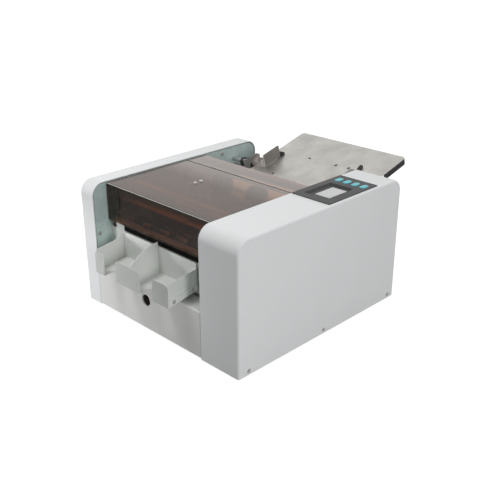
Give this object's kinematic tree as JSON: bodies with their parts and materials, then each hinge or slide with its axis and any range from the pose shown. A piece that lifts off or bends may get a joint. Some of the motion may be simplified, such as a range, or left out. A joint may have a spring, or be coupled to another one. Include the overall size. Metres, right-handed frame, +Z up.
{
  "type": "business card cutter",
  "caption": "Desk machine that slits and chops printed sheets into business cards, with card trays, smoked hood and keys.",
  "frame": {"origin": "on the floor, below the middle of the machine's bounding box", "axes": "+X towards the cheek with the controls, +Y from the card trays to the paper table, +Z up"},
  "size_m": [0.4024, 0.5142, 0.2499],
  "materials": {
    "cover_paint": "satin off-white powder coat",
    "frame_plate": "flat grey-green",
    "zinc_sheet": "zinc-plated sheet",
    "bright_steel": "turned and ground",
    "tray_sheet": "light grey",
    "drawer_sheet": "light grey",
    "stainless": "ground stainless",
    "smoked_acrylic": "smoked brown acrylic",
    "panel_plastic": "fine matt",
    "black_plastic": "matt black",
    "black_rubber": "matt",
    "lcd_glass": "display window",
    "key_blue": "blue-green keys",
    "tool_steel": "hardened and ground",
    "bronze": "sintered bronze",
    "motor_paint": "dark grey",
    "pad_cork": "friction pad"
  },
  "bodies": {
    "casing": {"base_plate": "zinc_sheet", "left_frame_plate": "frame_plate", "right_frame_plate": "frame_plate", "left_cover": "cover_paint", "right_cover": "cover_paint", "cover_screws": "bright_steel", "frame_screws": "bright_steel", "rubber_feet": "black_rubber", "rear_panel": "cover_paint", "power_inlet": "black_plastic", "tie_bars": "bright_steel", "front_fascia": "tray_sheet", "hood_hinge_rod": "bright_steel", "hood_rear_strip": "smoked_acrylic", "control_bezel": "panel_plastic", "display_screen": "lcd_glass", "feed_table": "stainless", "table_brackets": "zinc_sheet", "guide_rod": "bright_steel", "right_guide": "stainless", "right_guide_tip": "black_rubber", "separator_block": "zinc_sheet", "separator_pad": "pad_cork", "knife_bed": "tool_steel", "knife_posts": "bright_steel", "shaft_bearings": "bronze", "motors": "motor_paint", "drive_belts": "black_rubber", "power_supply": "zinc_sheet"},
    "waste_drawer": {"drawer_front": "drawer_sheet", "drawer_pan": "zinc_sheet"},
    "card_trays": {"tray_floor": "tray_sheet", "tray_side_walls": "tray_sheet", "tray_back_wall": "tray_sheet", "tray_divider": "tray_sheet", "tray_screws": "bright_steel"},
    "hood_cover": {"hood": "smoked_acrylic", "hood_magnet_bracket": "zinc_sheet", "hood_screws": "bright_steel"},
    "rocker": {"power_switch": "black_plastic"},
    "key_1": {"button_1": "key_blue"},
    "key_2": {"button_2": "key_blue"},
    "key_3": {"button_3": "key_blue"},
    "key_4": {"button_4": "key_blue"},
    "paper_guide": {"left_guide": "stainless", "left_guide_tip": "black_rubber"},
    "clamp_knob": {"guide_knob": "black_plastic"},
    "feeder": {"feed_shaft": "bright_steel", "feed_rollers": "black_rubber"},
    "upper_slitter": {"slitter_upper_shaft": "bright_steel", "slitter_upper_blades": "tool_steel"},
    "lower_slitter": {"slitter_lower_shaft": "bright_steel", "slitter_lower_blades": "tool_steel"},
    "upper_delivery": {"delivery_upper_shaft": "bright_steel", "delivery_upper_rollers": "black_rubber"},
    "lower_delivery": {"delivery_lower_shaft": "bright_steel", "delivery_lower_rollers": "black_rubber"},
    "knife": {"knife_carriage": "tool_steel"},
    "crank": {"knife_shaft": "bright_steel"},
    "rotor": {"motor_pulley": "bright_steel"}
  },
  "joints": [
    {"name": "drawer_slide", "type": "slide", "parent": "casing", "child": "waste_drawer", "axis": [0, -1, 0], "range_m": [0, 0.15]},
    {"name": "tray_lift", "type": "slide", "parent": "casing", "child": "card_trays", "axis": [0, 0, 1], "range_m": [0, 0.0035]},
    {"name": "hood_hinge", "type": "hinge", "parent": "casing", "child": "hood_cover", "pos_m": [-0.0245, -0.01055, 0.229], "axis": [-1, 0, 0], "range_deg": [0, 75]},
    {"name": "switch_rocker", "type": "hinge", "parent": "casing", "child": "rocker", "pos_m": [0.03, 0.16945, 0.045], "axis": [1, 0, 0], "range_deg": [-8, 8]},
    {"name": "guide_slide", "type": "slide", "parent": "casing", "child": "paper_guide", "axis": [1, 0, 0], "range_m": [-0.024, 0.01]},
    {"name": "knob_turn", "type": "hinge", "parent": "paper_guide", "child": "clamp_knob", "pos_m": [-0.133, 0.12022, 0.20785], "axis": [1, 0, 0], "continuous": true},
    {"name": "feed_turn", "type": "hinge", "parent": "casing", "child": "feeder", "pos_m": [-0.0245, -0.00205, 0.201], "axis": [1, 0, 0], "continuous": true},
    {"name": "upper_slitter_turn", "type": "hinge", "parent": "casing", "child": "upper_slitter", "pos_m": [-0.0245, -0.08205, 0.17828], "axis": [1, 0, 0], "continuous": true},
    {"name": "lower_slitter_turn", "type": "hinge", "parent": "casing", "child": "lower_slitter", "pos_m": [-0.0245, -0.08205, 0.14308], "axis": [1, 0, 0], "continuous": true},
    {"name": "upper_delivery_turn", "type": "hinge", "parent": "casing", "child": "upper_delivery", "pos_m": [-0.0245, -0.17325, 0.16883], "axis": [1, 0, 0], "continuous": true},
    {"name": "lower_delivery_turn", "type": "hinge", "parent": "casing", "child": "lower_delivery", "pos_m": [-0.0245, -0.17325, 0.14453], "axis": [1, 0, 0], "continuous": true},
    {"name": "motor_turn", "type": "hinge", "parent": "casing", "child": "rotor", "pos_m": [0.1, 0.05795, 0.053], "axis": [1, 0, 0], "continuous": true},
    {"name": "crank_turn", "type": "hinge", "parent": "casing", "child": "crank", "pos_m": [-0.0245, -0.16555, 0.19818], "axis": [1, 0, 0], "continuous": true},
    {"name": "knife_stroke", "type": "slide", "parent": "casing", "child": "knife", "axis": [0, 0, -1], "range_m": [0, 0.007]},
    {"name": "key_1_press", "type": "slide", "parent": "casing", "child": "key_1", "axis": [0, 0, -1], "range_m": [0, 0.0015], "stiffness_N_per_m": 400},
    {"name": "key_2_press", "type": "slide", "parent": "casing", "child": "key_2", "axis": [0, 0, -1], "range_m": [0, 0.0015], "stiffness_N_per_m": 400},
    {"name": "key_3_press", "type": "slide", "parent": "casing", "child": "key_3", "axis": [0, 0, -1], "range_m": [0, 0.0015], "stiffness_N_per_m": 400},
    {"name": "key_4_press", "type": "slide", "parent": "casing", "child": "key_4", "axis": [0, 0, -1], "range_m": [0, 0.0015], "stiffness_N_per_m": 400}
  ],
  "couplings": [
    {"joint": "upper_slitter_turn", "follows": "lower_slitter_turn", "ratio": -1},
    {"joint": "feed_turn", "follows": "lower_slitter_turn", "ratio": -1},
    {"joint": "lower_delivery_turn", "follows": "lower_slitter_turn", "ratio": 1.5},
    {"joint": "upper_delivery_turn", "follows": "lower_slitter_turn", "ratio": -1.5},
    {"joint": "motor_turn", "follows": "lower_slitter_turn", "ratio": 2}
  ]
}
